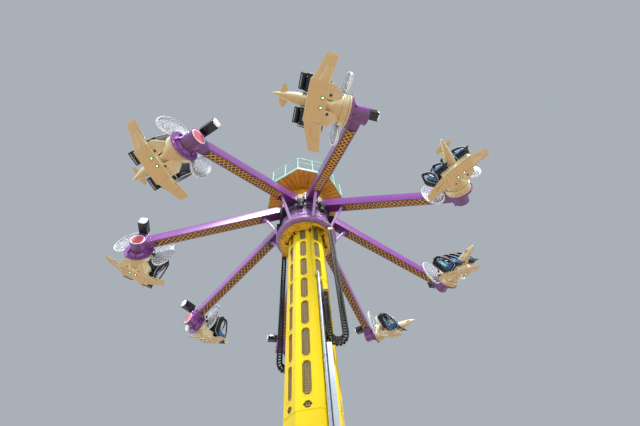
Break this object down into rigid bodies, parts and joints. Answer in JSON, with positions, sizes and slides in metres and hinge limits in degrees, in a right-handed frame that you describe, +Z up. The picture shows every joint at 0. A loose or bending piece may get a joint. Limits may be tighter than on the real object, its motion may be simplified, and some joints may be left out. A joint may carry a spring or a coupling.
{
  "type": "self-control plane ride",
  "caption": "Fairground tower ride: a climbing carriage turns a hub whose sloping arms each carry a rolling two-seat plane round a windowed octagonal tower with a railed top platform.",
  "frame": {"origin": "centre of the foot flange's underside, on the tower's axis", "axes": "+Z up the tower; -Y towards the side the picture was taken from; the arms stand at -67.5 degrees and every 45 degrees on"},
  "size_m": [13.7892, 13.7892, 14.513],
  "materials": {
    "tower_paint": "gloss yellow paint",
    "arm_paint": "gloss purple paint",
    "plane_shell": "cream gelcoat on moulded shells over a steel frame",
    "seat_shell": "black moulded seat shells",
    "paddle_skin": "frosted paddle with a white rim",
    "rail_paint": "mint paint",
    "deck_paint": "ochre paint",
    "steel": "galvanised steel",
    "trough_metal": "mill aluminium",
    "drive_metal": "black painted drives",
    "carrier_links": "black moulded links"
  },
  "bodies": {
    "tower": {"foot_flange": "tower_paint", "tower_foot_segment": "tower_paint", "tower_lower_segment": "tower_paint", "tower_upper_segment": "tower_paint", "rack_cage": "steel", "tower_head": "tower_paint", "platform_deck": "deck_paint", "platform_railing": "rail_paint", "cable_conduit": "steel", "carrier_trough_front": "trough_metal", "carrier_anchor_front": "steel", "carrier_fixed_strand_front": "carrier_links", "carrier_trough_rear": "trough_metal", "carrier_anchor_rear": "steel", "carrier_fixed_strand_rear": "carrier_links"},
    "carriage": {"carriage": "tower_paint", "carrier_moving_strand_front": "carrier_links", "carrier_moving_strand_rear": "carrier_links"},
    "carrier_bends": {"carrier_bend_front": "carrier_links", "carrier_bend_rear": "carrier_links"},
    "rotor": {"hub": "arm_paint", "hub_drives": "drive_metal", "arm_1": "arm_paint", "arm_2": "arm_paint", "arm_3": "arm_paint", "arm_4": "arm_paint", "arm_5": "arm_paint", "arm_6": "arm_paint", "arm_7": "arm_paint", "arm_8": "arm_paint"},
    "plane_1": {"airframe_1": "plane_shell", "seats_1": "seat_shell", "propeller_1": "paddle_skin"},
    "plane_2": {"airframe_2": "plane_shell", "seats_2": "seat_shell", "propeller_2": "paddle_skin"},
    "plane_3": {"airframe_3": "plane_shell", "seats_3": "seat_shell", "propeller_3": "paddle_skin"},
    "plane_4": {"airframe_4": "plane_shell", "seats_4": "seat_shell", "propeller_4": "paddle_skin"},
    "plane_5": {"airframe_5": "plane_shell", "seats_5": "seat_shell", "propeller_5": "paddle_skin"},
    "plane_6": {"airframe_6": "plane_shell", "seats_6": "seat_shell", "propeller_6": "paddle_skin"},
    "plane_7": {"airframe_7": "plane_shell", "seats_7": "seat_shell", "propeller_7": "paddle_skin"},
    "plane_8": {"airframe_8": "plane_shell", "seats_8": "seat_shell", "propeller_8": "paddle_skin"}
  },
  "joints": [
    {"name": "carriage_lift", "type": "slide", "parent": "tower", "child": "carriage", "axis": [0, 0, 1], "range_m": [-7.5, 0], "deforming": ["carrier_moving_strand_front", "carrier_moving_strand_rear"]},
    {"name": "carrier_bend_travel", "type": "slide", "parent": "tower", "child": "carrier_bends", "axis": [0, 0, 1], "range_m": [-3.75, 0], "deforming": ["carrier_fixed_strand_front", "carrier_fixed_strand_rear"]},
    {"name": "rotor_spin", "type": "hinge", "parent": "carriage", "child": "rotor", "pos_m": [0, 0, 11.6], "axis": [0, 0, 1], "continuous": true},
    {"name": "plane_roll_1", "type": "hinge", "parent": "rotor", "child": "plane_1", "pos_m": [2.21842, -5.35573, 8.995], "axis": [0.9239, 0.3827, 0], "continuous": true},
    {"name": "plane_roll_2", "type": "hinge", "parent": "rotor", "child": "plane_2", "pos_m": [5.35573, -2.21842, 8.995], "axis": [0.3827, 0.9239, 0], "continuous": true},
    {"name": "plane_roll_3", "type": "hinge", "parent": "rotor", "child": "plane_3", "pos_m": [5.35573, 2.21842, 8.995], "axis": [-0.3827, 0.9239, 0], "continuous": true},
    {"name": "plane_roll_4", "type": "hinge", "parent": "rotor", "child": "plane_4", "pos_m": [2.21842, 5.35573, 8.995], "axis": [-0.9239, 0.3827, 0], "continuous": true},
    {"name": "plane_roll_5", "type": "hinge", "parent": "rotor", "child": "plane_5", "pos_m": [-2.21842, 5.35573, 8.995], "axis": [-0.9239, -0.3827, 0], "continuous": true},
    {"name": "plane_roll_6", "type": "hinge", "parent": "rotor", "child": "plane_6", "pos_m": [-5.35573, 2.21842, 8.995], "axis": [-0.3827, -0.9239, 0], "continuous": true},
    {"name": "plane_roll_7", "type": "hinge", "parent": "rotor", "child": "plane_7", "pos_m": [-5.35573, -2.21842, 8.995], "axis": [0.3827, -0.9239, 0], "continuous": true},
    {"name": "plane_roll_8", "type": "hinge", "parent": "rotor", "child": "plane_8", "pos_m": [-2.21842, -5.35573, 8.995], "axis": [0.9239, -0.3827, 0], "continuous": true}
  ],
  "couplings": [
    {"joint": "carrier_bend_travel", "follows": "carriage_lift", "ratio": 0.5}
  ]
}
